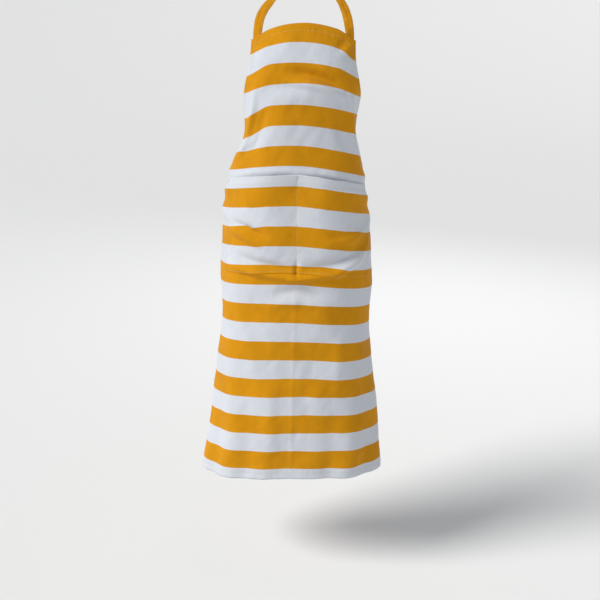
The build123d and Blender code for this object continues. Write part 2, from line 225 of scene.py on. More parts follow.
# The folds: each one's route of (u, v) points, its width and its height
FOLDS = (
    # over the bust: a hollow, and the soft fold under it
    ([(-0.05, 0.112), (0.035, 0.121), (0.104, 0.138)], 0.0125, -0.0125),
    ([(-0.056, 0.137), (0.035, 0.144), (0.112, 0.163)], 0.0105, 0.0095),
    ([(-0.118, 0.05), (-0.086, 0.082), (-0.05, 0.096)], 0.012, 0.0044),
    ([(0.118, 0.014), (0.102, 0.034), (0.088, 0.06)], 0.008, 0.0042),
    ([(0.104, 0.01), (0.09, 0.032), (0.076, 0.056)], 0.008, -0.0034),
    ([(-0.1, 0.156), (-0.04, 0.146), (0.02, 0.156)], 0.018, -0.0042),
    ([(-0.06, 0.176), (0.01, 0.17), (0.07, 0.18)], 0.018, 0.0032),
    # down each armhole, where the cloth turns round the body
    ([(-0.112, 0.12), (-0.122, 0.185), (-0.146, 0.27), (-0.18, 0.33)], 0.01, 0.0072),
    ([(0.116, 0.12), (0.126, 0.185), (0.15, 0.27), (0.184, 0.33)], 0.01, 0.0066),
    ([(-0.085, 0.19), (-0.1, 0.25), (-0.125, 0.31)], 0.013, -0.0048),
    ([(0.088, 0.19), (0.102, 0.25), (0.128, 0.31)], 0.013, -0.0044),
    ([(-0.06, 0.23), (0, 0.222), (0.065, 0.236)], 0.016, 0.0018),
    # from the waist corners, where the ties pull
    ([(-0.335, 0.352), (-0.235, 0.385), (-0.12, 0.38)], 0.012, 0.004),
    ([(-0.335, 0.372), (-0.235, 0.435), (-0.15, 0.47)], 0.014, 0.0044),
    ([(-0.33, 0.33), (-0.245, 0.34), (-0.13, 0.322)], 0.01, 0.003),
    ([(0.335, 0.352), (0.235, 0.388), (0.12, 0.384)], 0.012, 0.004),
    ([(0.335, 0.374), (0.24, 0.44), (0.155, 0.48)], 0.014, 0.0044),
    ([(0.33, 0.33), (0.245, 0.338), (0.13, 0.318)], 0.01, 0.003),
    ([(-0.345, 0.4), (-0.29, 0.52), (-0.24, 0.64)], 0.017, 0.0055),
    ([(0.345, 0.4), (0.29, 0.53), (0.25, 0.65)], 0.017, 0.0055),
    # where the pocket hangs: two swags that meet at the foot of the divider
    ([(0.205, 0.49), (0.16, 0.548), (0.095, 0.588), (0.004, 0.608), (-0.03, 0.61)], 0.0085, 0.011),
    ([(0.17, 0.5), (0.135, 0.54), (0.075, 0.566), (0.008, 0.582)], 0.0105, -0.008),
    ([(0.186, 0.47), (0.13, 0.5), (0.07, 0.515)], 0.009, 0.006),
    ([(-0.21, 0.565), (-0.12, 0.588), (-0.06, 0.6), (-0.004, 0.608), (0.03, 0.61)], 0.0085, 0.01),
    ([(-0.165, 0.545), (-0.1, 0.565), (-0.045, 0.578), (-0.008, 0.584)], 0.0105, -0.0074),
    ([(-0.19, 0.478), (-0.13, 0.5), (-0.075, 0.53)], 0.009, 0.0078),
    ([(-0.172, 0.462), (-0.112, 0.48), (-0.06, 0.512)], 0.0085, -0.0068),
    ([(0, 0.56), (0, 0.585), (0.001, 0.612)], 0.0055, -0.0064),
    # below the pocket
    ([(-0.06, 0.646), (0.01, 0.632), (0.085, 0.648)], 0.012, -0.0078),
    ([(-0.08, 0.676), (0, 0.664), (0.095, 0.678)], 0.013, 0.0058),
    ([(-0.15, 0.7), (-0.11, 0.8), (-0.1, 0.9)], 0.022, 0.005),
    ([(0.12, 0.72), (0.105, 0.84), (0.12, 0.96)], 0.02, 0.0052),
    ([(0.06, 0.78), (0.03, 0.9), (0.04, 1.03)], 0.022, -0.0044),
    ([(-0.05, 0.85), (-0.06, 0.96), (-0.048, 1.08)], 0.02, 0.0042),
)
# Long flutes of the skirt: where across, how wide and how high
FLUTES = ((-0.262, 0.03, 0.003), (-0.165, 0.03, 0.0045), (-0.072, 0.034, 0.003),
          (0.052, 0.034, 0.0032), (0.15, 0.026, 0.006), (0.205, 0.022, -0.005),
          (0.268, 0.028, 0.003), (-0.215, 0.024, -0.006), (-0.318, 0.022, -0.007),
          (0.322, 0.022, -0.008), (0.1, 0.02, -0.003), (-0.118, 0.022, -0.003))
# Slack in the woven cloth itself: height, slant, cell across and along, and seed
SLACK = ((0.0026, 0.3, 0.08, 0.15, 1), (0.0013, -0.4, 0.038, 0.06, 4), (0.0006, 0.5, 0.018, 0.03, 2),
         (0.00022, 0, 0.007, 0.01, 3))


def creases(u, v):
    """Everything the cloth does besides following the body: drawn folds, drapes and pressed lines.
    Lift in metres."""
    rise = np.zeros(np.shape(u))
    for route, width, height in FOLDS:
        rise += fold(u, v, route, width, height)
    # the line pressed down the middle when the apron was folded for sale
    pressed = smooth(v, 0.6, 0.68) * (1 - smooth(v, 1.08, 1.125))
    rise += 0.0016 * pressed * np.exp(-np.abs(u + 0.002 + 0.002 * np.sin(9 * v)) / 0.0045)
    # long soft flutes that open towards the hem
    opening = smooth(v, 0.62, 1.15)
    for at, wide, high in FLUTES:
        sway = 0.01 * unevenness(v * 0 + at, v, 1.0, 0.22, 40)
        rise += high * opening * np.exp(-((u - at - sway) / wide) ** 2)
    # small ruffles where the cloth blouses over the pocket's mouth
    ruffle = np.exp(-((v - POCKET_TOP + 0.007) / 0.007) ** 2) * smooth(POCKET_HALF - np.abs(u), 0, 0.03)
    rise += ruffle * (0.0018 + 0.0012 * unevenness(u, v, 0.014, 0.05, 31))
    rise += seam_pull(u, v)
    for height, slant, cell_u, cell_v, seed in SLACK:
        rise += height * unevenness(u + slant * v, v, cell_u, cell_v, seed)
    return rise


def section(v, reach):
    """Sideways and backwards places along each row's section, at the distances in reach."""
    power, curl = along(FLATNESS, v)[:, None], along(CURL, v)[:, None]
    share = (np.arange(200) + 0.5)[None, :] / 200
    widest = along(HALF_WIDTH, v)[:, None] / np.cos(np.pi / 2 * share ** power).mean(1, keepdims=True)
    middle = ((reach[1:] + reach[:-1]) / 2)[None, :]
    turn = np.where(middle < widest, np.pi / 2 * (np.minimum(middle, widest) / widest) ** power,
                    np.pi / 2 + curl * (middle - widest))
    step = np.diff(reach)[None, :]
    start = np.zeros((len(v), 1))
    x = np.concatenate([start, np.cumsum(np.cos(turn) * step, 1)], 1)
    y = np.concatenate([start, np.cumsum(np.sin(turn) * step, 1)], 1)
    return x, y


class WornCloth:
    """The worn surface, worked out once on a fine grid and then read between its points."""

    EDGE = 0.006                # the grid goes this far past the cut
    ROWS, COLUMNS = 900, 340    # columns on each side of the centre line

    def __init__(self):
        self.v = np.linspace(-self.EDGE, LENGTH + self.EDGE, self.ROWS)
        reach = np.linspace(0, SKIRT_HALF + self.EDGE, self.COLUMNS)
        self.u = np.concatenate([-reach[:0:-1], reach])
        x, y = section(self.v, reach)
        front = along(FRONT_Y, self.v)
        slope = np.gradient(front, self.v)
        fall = np.sqrt(1 - slope ** 2)
        z = -NAPE_RISE - np.concatenate([[0], np.cumsum((fall[1:] + fall[:-1]) / 2 * np.diff(self.v))])
        z -= np.interp(0, self.v, z) + NAPE_RISE
        t = self.u[None, :] / SAG_AT
        drop = along(SIDE_SAG, self.v)[:, None] * 1.5 * t * t / (1 + 0.5 * t * t)
        drop += along(RIGHT_DROP, self.v)[:, None] * t / (1 + 0.2 * t * t)
        for side, amount, u_from, u_to, v_from, v_to in SLUMPS:
            high, low = v_from + (v_to - v_from) * 0.4, v_from + (v_to - v_from) * 0.6
            where = smooth(self.v, v_from, high) * (1 - smooth(self.v, low, v_to))
            drop += amount * smooth(side * self.u, u_from, u_to)[None, :] * where[:, None]
        both = np.concatenate([-x[:, :0:-1], x], 1) + along(LEAN, self.v)[:, None]
        depth = np.concatenate([y[:, :0:-1], y], 1) + front[:, None]
        self.place = np.stack([both, depth, z[:, None] - drop], -1)
        self.face()
        uu, vv = np.meshgrid(self.u, self.v)
        self.place += self.normal * creases(uu, vv)[..., None]
        self.face()

    def face(self):
        across = np.gradient(self.place, axis=1)
        down = np.gradient(self.place, axis=0)
        out = np.cross(down, across)
        out /= np.linalg.norm(out, axis=-1, keepdims=True)
        # the front faces -Y at the centre line
        self.normal = out * np.sign(-out[len(self.v) // 2, len(self.u) // 2, 1])

    def read(self, table, u, v):
        i = np.clip((v - self.v[0]) / (self.v[1] - self.v[0]), 0, len(self.v) - 1.001)
        j = np.clip((u - self.u[0]) / (self.u[1] - self.u[0]), 0, len(self.u) - 1.001)
        a, b = np.floor(i).astype(int), np.floor(j).astype(int)
        s, t = (i - a)[..., None], (j - b)[..., None]
        top = table[a, b] * (1 - t) + table[a, b + 1] * t
        low = table[a + 1, b] * (1 - t) + table[a + 1, b + 1] * t
        return top * (1 - s) + low * s

    def at(self, u, v, lift=0.0):
        """Points at (u, v), lifted outwards."""
        u, v = np.broadcast_arrays(np.asarray(u, float), np.asarray(v, float))
        out = self.out(u, v)
        return self.read(self.place, u, v) + out * np.asarray(lift, float)[..., None]

    def out(self, u, v):
        n = self.read(self.normal, np.asarray(u, float), np.asarray(v, float))
        return n / np.linalg.norm(n, axis=-1, keepdims=True)


cloth = WornCloth()


# ---- mesh making

def piece_of(name, points, faces, flat=None):
    """A smooth mesh object. flat holds, for each point, its place on the flat cloth and its
    distance from the nearest edge."""
    points, faces = np.asarray(points, float), np.asarray(faces, int)
    a, b, c, d = (points[faces[:, k]] for k in range(4))
    volume = np.einsum("ij,ij->i", a, np.cross(b, c) + np.cross(c, d)).sum()
    if volume < 0:
        faces = faces[:, ::-1]
    mesh = bpy.data.meshes.new(name)
    mesh.from_pydata(points.tolist(), [], faces.tolist())
    if flat is not None:
        layer = mesh.attributes.new("flat", "FLOAT_VECTOR", "POINT")
        layer.data.foreach_set("vector", np.asarray(flat, np.float32).ravel())
    mesh.shade_smooth()
    made = bpy.data.objects.new(name, mesh)
    bpy.context.scene.collection.objects.link(made)
    return made


def grid_faces(index):
    return np.stack([index[1:, :-1], index[1:, 1:], index[:-1, 1:], index[:-1, :-1]], -1).reshape(-1, 4)


def slab(name, front, back, flat):
    """A closed sheet between two grids of points."""
    rows, columns = front.shape[:2]
    a = np.arange(rows * columns).reshape(rows, columns)
    b = a + rows * columns

    def wall(p, q):
        return np.stack([p[:-1], p[1:], q[1:], q[:-1]], -1)

    faces = [grid_faces(a), grid_faces(b)[:, ::-1], wall(a[0], b[0]), wall(b[-1], a[-1]),
             wall(b[:, 0], a[:, 0]), wall(a[:, -1], b[:, -1])]
    flat = np.broadcast_to(flat, (rows, columns, 3)).reshape(-1, 3)
    points = np.concatenate([front.reshape(-1, 3), back.reshape(-1, 3)])
    return piece_of(name, points, np.concatenate(faces), np.concatenate([flat, flat]))


def steps(low, high, size):
    return np.linspace(low, high, max(2, int(round((high - low) / size)) + 1))


# ---- panel and its turned edges

EDGE_RADIUS = (CLOTH + TURN_GAP + TURN_THICK) / 2
# Columns of points near a side edge, as distances from it
EDGE_COLUMNS = np.array([0.9, 1.5, 2.4, 3.8, 5.6, 7.4, 9.0, 10.0, 10.6, 11.0, 11.4, 12.0, 13.0, 14.4,
                         16.4, 19.0, 22.0]) * 0.001


def main_panel():
    v = steps(EDGE_RADIUS, LENGTH - EDGE_RADIUS, TURN_STEP)
    widen = np.sqrt(1 + cut_slope(v) ** 2)[:, None]
    outer = cut_half(v)[:, None] - EDGE_COLUMNS[None, :] * widen
    share = np.linspace(-1, 1, 171)[1:-1][None, :]
    u = np.concatenate([-outer, share * outer[:, -1:], outer[:, ::-1]], 1)
    v = np.broadcast_to(v[:, None], u.shape)
    near = np.minimum(np.minimum(edge_distance(u, v), v), LENGTH - v)
    flat = np.stack([u, v, near], -1)
    return slab("canvas_panel", cloth.at(u, v, CLOTH), cloth.at(u, v, 0.0), flat)


def turned_edge(name, edge_u, edge_v, in_u, in_v, depth, gap=TURN_GAP, base=None):
    """The cloth's own edge folded over to the back: a round fold and a flat leg."""
    gap = np.broadcast_to(gap, edge_u.shape)[:, None]
    radius = (CLOTH + gap + TURN_THICK) / 2
    half_at_front, half_at_back = CLOTH / 2, TURN_THICK / 2
    turn = np.linspace(0, np.pi, 11)
    leg = np.array([0.06, 0.2, 0.4, 0.6, 0.8, 0.9, 0.955, 0.985, 1.0])
    half = np.concatenate([half_at_front + (half_at_back - half_at_front) * turn / np.pi,
                           half_at_back * np.sqrt(np.clip(1 - leg ** 24, 0.002, 1))])[None, :]
    middle = radius - half
    bend = turn.size
    d = np.concatenate([radius - np.sin(turn)[None, :] * middle[:, :bend],
                        radius + (depth - radius) * leg[None, :]], 1)
    level = CLOTH - radius
    lift = np.concatenate([level + np.cos(turn)[None, :] * middle[:, :bend],
                           level - middle[:, bend:]], 1)
    out_d = np.concatenate([-np.sin(turn), np.zeros(leg.size)])[None, :] * half
    out_lift = np.concatenate([np.cos(turn), -np.ones(leg.size)])[None, :] * half
    past_fold = np.concatenate([(turn - np.pi / 2) * float(radius.mean()), leg * depth + 0.001])[None, :]
    flat_d = np.broadcast_to(-past_fold, (edge_u.size, past_fold.size))

    def surface(sign):
        reach = d + sign * out_d
        u = edge_u[:, None] + in_u[:, None] * reach
        v = edge_v[:, None] + in_v[:, None] * reach
        own = 0.0 if base is None else base(u, v)
        return cloth.at(u, v, own + lift + sign * out_lift)

    flat = np.stack([edge_u[:, None] + in_u[:, None] * flat_d, edge_v[:, None] + in_v[:, None] * flat_d,
                     np.abs(flat_d)], -1)
    return slab(name, surface(1), surface(-1), flat)


def side_edge(side, v_from, v_to):
    """Points along a side edge, and the direction inwards, square to it."""
    v = steps(v_from, v_to, TURN_STEP)
    slope = cut_slope(v)
    size = np.sqrt(1 + slope ** 2)
    return side * cut_half(v), v, -side / size, slope / size


ARMHOLE_END = 0.345            # where an armhole's turned edge meets the side's
END_GAP = 0.0006


def turned_edges():
    made = {}
    for side, word in SIDES:
        for kind, v_from, v_to in (("armhole_turn_", END_GAP, ARMHOLE_END),
                                   ("side_turn_", ARMHOLE_END, LENGTH - END_GAP)):
            made[kind + word] = turned_edge(kind + word, *side_edge(side, v_from, v_to), SIDE_TURN)
    for name, v, inward, half, turn in (("bib_top_turn", 0.0, 1.0, BIB_HALF, TOP_TURN),
                                        ("bottom_turn", LENGTH, -1.0, SKIRT_HALF, BOTTOM_TURN)):
        u = steps(-half + 0.0004, half - 0.0004, TURN_STEP)
        over_side = smooth(np.abs(u), half - SIDE_TURN - 0.004, half - SIDE_TURN)
        gap = TURN_GAP + OVER_TURN * over_side
        made[name] = turned_edge(name, u, u * 0 + v, u * 0, u * 0 + inward, turn, gap)
    return made


# ---- pocket

def rim_distance(u, v):
    """The distance from the pocket's sewn rim: its two sides and its foot."""
    return np.minimum(POCKET_HALF - np.abs(u), POCKET_TOP + POCKET_DEPTH - v)


def rim_thickness(rim):
    """How much thicker the pocket is at its rim, where the cloth is turned under."""
    return POCKET_TURN * (1 - smooth(rim, 0.009, 0.012))


def pocket_lift(u, v):
    """How far the back of the pocket's cloth stands off the back of the panel."""
    down = np.clip((v - POCKET_TOP) / POCKET_DEPTH, 0, 1)
    side = np.clip(np.abs(u) / POCKET_HALF, 0, 1)
    gape = POCKET_GAPE * np.sin(np.pi * side ** POCKET_LEAN) ** 2 * np.cos(np.pi / 2 * down)
    mouth = 0.0013 * (1 - smooth(v - POCKET_TOP, 0.024, 0.031))
    belly = 0.002 * np.sin(np.pi * side) ** 2 * np.sin(np.pi * down) ** 2
    return CLOTH + PLY_AIR + np.maximum(rim_thickness(rim_distance(u, v)), mouth) + gape + belly


def pocket_panel():
    # rows and columns of points close together at the rim, as distances from it
    fine = np.array([0, 0.15, 0.5, 1.1, 2.0, 3.2, 4.0, 4.8, 6.5, 9.0, 10.5, 12.0, 14.0]) * 0.001
    edge = POCKET_HALF - fine
    middle = np.concatenate([steps(-edge[-1], -0.004, 0.003)[1:], [-0.0025, -0.0012, 0, 0.0012, 0.0025],
                             steps(0.004, edge[-1], 0.003)[:-1]])
    u = np.concatenate([-edge, middle, edge[::-1]])
    low = POCKET_TOP + POCKET_DEPTH - fine[::-1]
    v = np.concatenate([steps(POCKET_TOP + EDGE_RADIUS, low[0], 0.003)[:-1], low])
    u, v = np.meshgrid(u, v)
    rim = rim_distance(u, v)
    round_off = np.sqrt(np.clip(1 - (1 - np.clip(rim / POCKET_TURN, 0, 1)) ** 2, 0.001, 1))
    doubled = rim_thickness(rim)
    lift = pocket_lift(u, v)
    middle_lift = lift + (CLOTH - doubled) / 2
    half = (CLOTH + doubled) / 2 * round_off
    near = np.minimum(rim, v - POCKET_TOP)
    flat = np.stack([u, v, near], -1)
    return slab("pocket", cloth.at(u, v, middle_lift + half), cloth.at(u, v, middle_lift - half), flat)


def pocket_mouth():
    u = steps(-POCKET_HALF + 0.0006, POCKET_HALF - 0.0006, 0.003)
    return turned_edge("pocket_mouth_turn", u, u * 0 + POCKET_TOP, u * 0, u * 0 + 1.0, MOUTH_TURN,
                       base=pocket_lift)


# ---- tapes

def distance_along(points):
    return np.concatenate([[0], np.cumsum(np.linalg.norm(np.diff(points, axis=0), axis=1))])


def line_through(points, size=0.003):
    """A smooth line through the points, at even steps."""
    points = np.array(points, float)
    far = distance_along(points)
    at = steps(0, far[-1], size)
    return np.stack([along(np.column_stack([far, points[:, k]]), at) for k in range(points.shape[1])], -1)


def unit(vectors):
    return vectors / np.linalg.norm(vectors, axis=-1, keepdims=True)


class Tape:
    """A flat tape along a line. rise(t, s) is the height of its section at t from -1 to 1 across
    and s metres along."""

    COLUMNS = np.array([0, 0.02, 0.06, 0.13, 0.19, 0.23, 0.27, 0.34, 0.44, 0.55, 0.68, 0.82, 0.94])
    STITCH_IN = 0.0024          # a row of stitches is this far from the edge
    STITCH_END = 0.003          # and stops this far from the tape's end

    def __init__(self, line, across, width, rise):
        self.line = np.asarray(line, float)
        tangent = unit(np.gradient(self.line, axis=0))
        self.normal = unit(np.cross(across, tangent))
        self.across = unit(np.cross(tangent, self.normal))
        self.far = distance_along(self.line)
        self.width = np.broadcast_to(np.asarray(width, float), self.far.shape)
        self.rise = rise

    @property
    def length(self):
        return float(self.far[-1])

    def surface(self, t, sign):
        """Points at t across, on the upper (1) or the lower (-1) side."""
        t = np.asarray(t, float)[None, :]
        s = self.far[:, None]
        half_width = self.width[:, None] / 2
        rim = (1 - np.abs(t)) * half_width
        half = TAPE_THICK / 2 * np.sqrt(np.clip(1 - (1 - np.clip(rim / (TAPE_THICK * 0.5), 0, 1)) ** 2,
                                                0.001, 1))
        stitch = np.exp(-((rim - self.STITCH_IN) / 0.0008) ** 2)
        height = self.rise(t, s) + sign * (half - GROOVE * stitch)
        side = self.across[:, None, :] * (t * half_width)[..., None]
        return self.line[:, None, :] + side + self.normal[:, None, :] * height[..., None]

    def make(self, name):
        t = np.concatenate([self.COLUMNS - 1, [0], 1 - self.COLUMNS[::-1]])
        flat = np.stack(np.broadcast_arrays(t[None, :] * self.width[:, None] / 2, self.far[:, None],
                                            (1 - np.abs(t))[None, :] * self.width[:, None] / 2), -1)
        return slab(name, self.surface(t, 1), self.surface(t, -1), flat)

    def edge_runs(self):
        """Runs for a row of stitches near each edge, on both sides."""
        runs = []
        keep = (self.far > self.STITCH_END) & (self.far < self.length - self.STITCH_END)
        for hand in (-1, 1):
            for sign in (-1, 1):
                t = hand * (1 - self.STITCH_IN / (float(self.width.max()) / 2))
                runs.append((self.surface([t], sign)[keep, 0], sign * self.normal[keep]))
        return runs

    def box_runs(self, low, high):
        """Runs for a crossed box between two distances along the tape, on both sides."""
        runs = []
        wide = 0.72
        corners = [(-wide, low), (wide, low), (wide, high), (-wide, high), (-wide, low), (wide, high),
                   (wide, low), (-wide, high)]
        for sign in (-1, 1):
            for (t0, s0), (t1, s1) in zip(corners, corners[1:]):
                share = np.linspace(0, 1, 16)
                t, s = t0 + (t1 - t0) * share, s0 + (s1 - s0) * share
                row = np.clip(np.searchsorted(self.far, s), 1, len(self.far) - 1)
                mix = ((s - self.far[row - 1]) / (self.far[row] - self.far[row - 1]))[:, None]
                points, out = [], []
                for k in range(len(share)):
                    whole = self.surface([t[k]], sign)[:, 0]
                    points.append(whole[row[k] - 1] * (1 - mix[k]) + whole[row[k]] * mix[k])
                    out.append(sign * self.normal[row[k]])
                runs.append((np.array(points), np.array(out)))
        return runs


def strap_rise(t, s):
    """The strap is folded from a wider strip: it is cupped, with a lengthwise crease."""
    ripple = 0.0004 * np.sin(s * 2 * np.pi / 0.061 + 3 * t) + 0.0003 * np.sin(s * 2 * np.pi / 0.023 - 2 * t)
    crease = 0.0011 * np.exp(-((t - 0.15) / 0.12) ** 2)
    return -0.0012 * t ** 2 - crease + ripple


# The free part of the strap, from a bib corner up to the nape on the right-hand side: its places,
# which way its width lies, and how much further in the left-hand side is
STRAP_ROUTE = [(0.104, -0.071, -0.109), (0.097, -0.06, -0.084), (0.085, -0.048, -0.06),
               (0.068, -0.035, -0.037), (0.048, -0.017, -0.013), (0.025, -0.004, -0.001)]
STRAP_FACING = [(1, 0.25, 0.2), (1, 0.25, 0.1), (0.95, 0.3, -0.15), (0.9, 0.35, -0.45), (0.5, 0.4, -0.8),
                (0.15, 0.45, -0.9)]
STRAP_INWARDS = (0.0, 0.003, 0.009, 0.011, 0.006, 0.002)


def neck_strap():
    lift = SEWN_ON - STRAP_CUP
    laps = (STRAP_LAP, STRAP_LAP / 2, 0.001)
    sewn = {side: [cloth.at(side * STRAP_AT, v, lift) for v in laps] for side in (-1, 1)}
    lies = {side: [unit(cloth.at(side * STRAP_AT + 0.002, v) - cloth.at(side * STRAP_AT - 0.002, v))
                   for v in laps] for side in (-1, 1)}
    free, facing = np.array(STRAP_ROUTE), unit(np.array(STRAP_FACING))
    mirror = np.array([-1, 1, 1])
    shift = np.outer(STRAP_INWARDS, (1, 0, 0))
    points = np.concatenate([sewn[1], free, np.zeros((1, 3)), (free * mirror + shift)[::-1], sewn[-1][::-1]])
    across = np.concatenate([lies[1], facing, [(0, 0.5, -0.87)], (facing * mirror)[::-1],
                             -np.array(lies[-1][::-1])])
    far = distance_along(points)
    line = line_through(points)
    at = np.linspace(0, far[-1], len(line))
    turned = np.stack([along(np.column_stack([far, across[:, k]]), at) for k in range(3)], -1)
    return Tape(line, turned, STRAP_WIDTH, strap_rise)


BOW = Vector(JOINTS["left_loop_lift"]["pos_m"])
KNOT_HALF = 0.0137              # from the knot's middle to where ties and loops come out of it
KNOT_SIZE = (0.0116, 0.0092, 0.0118)
TAIL_OUT = JOINTS["right_tail_sway"]["pos_m"][0]
TAIL_DEPTH = {1: 0.1078, -1: 0.1036}    # the right tail hangs nearer the knot than the left


def tie_rise(t, s):
    ripple = 0.0005 * np.sin(s * 2 * np.pi / 0.083 + 2 * t) + 0.0003 * np.sin(s * 2 * np.pi / 0.031 - 3 * t)
    return ripple - 0.0005 * t ** 2


def gathered_rise(gathered, deep, turns):
    """The rise of a tape that is gathered into pleats by the given share along its length."""
    def rise(t, s):
        pleat = np.interp(s, np.linspace(0, s.max(), len(gathered)), gathered)
        return tie_rise(t, s) + deep * pleat * np.cos(t * turns * np.pi)

    return rise


def waist_tie(side):
    level = ARMHOLE_DEPTH + TIE_WIDTH / 2 + 0.006
    points = [cloth.at(side * (SKIRT_HALF - d), level, SEWN_ON) for d in (TIE_LAP, TIE_LAP / 2, 0.001)]
    corner = points[-1]
    end = np.array((side * KNOT_HALF, BOW.y - 0.006, BOW.z))
    for far, back in ((0.3, 0.55), (0.6, 0.88)):
        sag = 0.003 * math.sin(math.pi * far)
        points.append(np.array((corner[0] * (1 - far), corner[1] + back * (end[1] - corner[1]),
                                corner[2] + far * (end[2] - corner[2]) - sag)))
    points.append(end)
    up = unit(cloth.at(side * SKIRT_HALF, level - 0.005) - cloth.at(side * SKIRT_HALF, level + 0.005))
    line = line_through(points)
    share = smooth(np.linspace(0, 1, len(line)), 0.15, 0.5)[:, None]
    across = unit(up[None, :] * (1 - share) + np.array((0, 0, 1.0))[None, :] * share)
    gathered = smooth(np.linspace(0, 1, len(line)), 0.72, 1.0)
    width = TIE_WIDTH - (TIE_WIDTH - 0.013) * gathered
    return Tape(line, across * side, width, gathered_rise(gathered, 0.0016, 2.6))


def bow_loop(side):
    """One loop of the bow: out of the knot, round and back, drooping."""
    droop = math.radians(28)
    half_open = 0.0065
    out = [(KNOT_HALF + 0.0006, 0.0014), (0.024, 0.0036), (0.04, half_open * 0.95),
           (0.062, half_open * 1.05), (0.08, half_open * 0.9), (0.0885, half_open * 0.5)]
    plane = out + [(0.0915, 0.0)] + [(x, -y) for x, y in reversed(out)]
    points = []
    for x, y in plane:
        sag = -0.5 * (x / 0.09) ** 2 * 0.01
        swing = (x * math.cos(droop) + sag * math.sin(droop), -x * math.sin(droop) + sag * math.cos(droop))
        points.append((side * swing[0], BOW.y + 0.004 + y, BOW.z + swing[1]))
    line = line_through(points, 0.002)
    share = np.linspace(0, 1, len(line))
    gathered = np.exp(-(np.minimum(share, 1 - share) / 0.1) ** 2)
    across = np.array((side * math.sin(droop), 0, math.cos(droop)))
    lean = np.stack([share * 0, 0.1 * np.sin(2 * np.pi * share), share * 0], -1)
    width = TIE_WIDTH - (TIE_WIDTH - 0.0125) * gathered
    pleated = gathered_rise(gathered, 0.0013, 2.4)
    return Tape(line, unit(across[None, :] + lean), width,
                lambda t, s: pleated(t, s) + 0.0006 * np.sin(5 * t + 60 * s))


def tie_tail(side):
    """A free end that hangs behind the knot, with a slow twist in it."""
    drop = np.array((0, 0.07, 0.15, 0.22, 0.3, 0.3285))
    way = np.array((0, 0.0026, 0.005, 0.0098, 0.0122, 0.014)) * side
    points = [(side * TAIL_OUT + w, TAIL_DEPTH[side] + 0.0002 * math.sin(9 * d * side), BOW.z + 0.004 - d)
              for d, w in zip(drop, way)]
    line = line_through(points)
    share = np.linspace(0, 1, len(line))
    twist = 0.05 * np.sin(share * 5 + side) * smooth(share, 0.08, 0.4)
    across = unit(np.stack([share * 0 + 1, twist, share * 0], -1))
    width = TIE_WIDTH - 0.009 * (1 - smooth(share, 0.0, 0.12))
    return Tape(line, across, width, lambda t, s: 0.4 * tie_rise(t, s))


def bow_knot():
    """The tape wrapped once round the middle of the bow, pulled into pleats."""
    wide, deep, high = KNOT_SIZE
    along_x = np.linspace(-1, 1, 41)
    around = np.linspace(0, 2 * np.pi, 73)[:-1]
    x, turn = np.meshgrid(along_x, around, indexing="ij")
    full = np.clip(1 - np.abs(x) ** 3.2, 0, 1) ** 0.36
    pleat = 1 + 0.05 * np.cos(x * 7.6 + 0.5 * np.sin(turn)) + 0.02 * np.sin(x * 15 + 2 * turn)
    flare = 1 - 0.1 * np.cos(2 * turn)
    square = (np.abs(np.cos(turn)) ** 3 + np.abs(np.sin(turn)) ** 3) ** (-1 / 3)
    y = deep * np.cos(turn) * square * full * pleat
    z = high * np.sin(turn) * square * full * pleat * flare
    place = np.stack([wide * x + 0.0003 * np.sin(turn), BOW.y + y, BOW.z + z], -1)
    rings, count = place.shape[:2]
    index = np.arange(rings * count).reshape(rings, count)
    index = np.concatenate([index, index[:, :1]], 1)
    faces = [grid_faces(index)]
    ends = np.array([place[0].mean(0), place[-1].mean(0)])
    points = np.concatenate([place.reshape(-1, 3), ends])
    for ring, centre, order in ((index[0], rings * count, 1), (index[-1], rings * count + 1, -1)):
        a, b, c = ring[:-1:2], ring[1::2], ring[2::2]
        fan = np.stack([a, b, c, np.full(a.shape, centre)], -1)
        faces.append(fan[:, ::order])
    half, radius = 0.0122, 0.0105           # of the wrap, laid flat
    flat = np.stack([x * half, turn * radius, half * (1 - np.abs(x))], -1).reshape(-1, 3)
    flat = np.concatenate([flat, [[0, 0, 0.01]] * 2])
    return piece_of("bow_knot_wrap", points, np.concatenate(faces), flat)


# ---- stitching

STITCH = 0.0031
THREAD_RADIUS = 0.0002


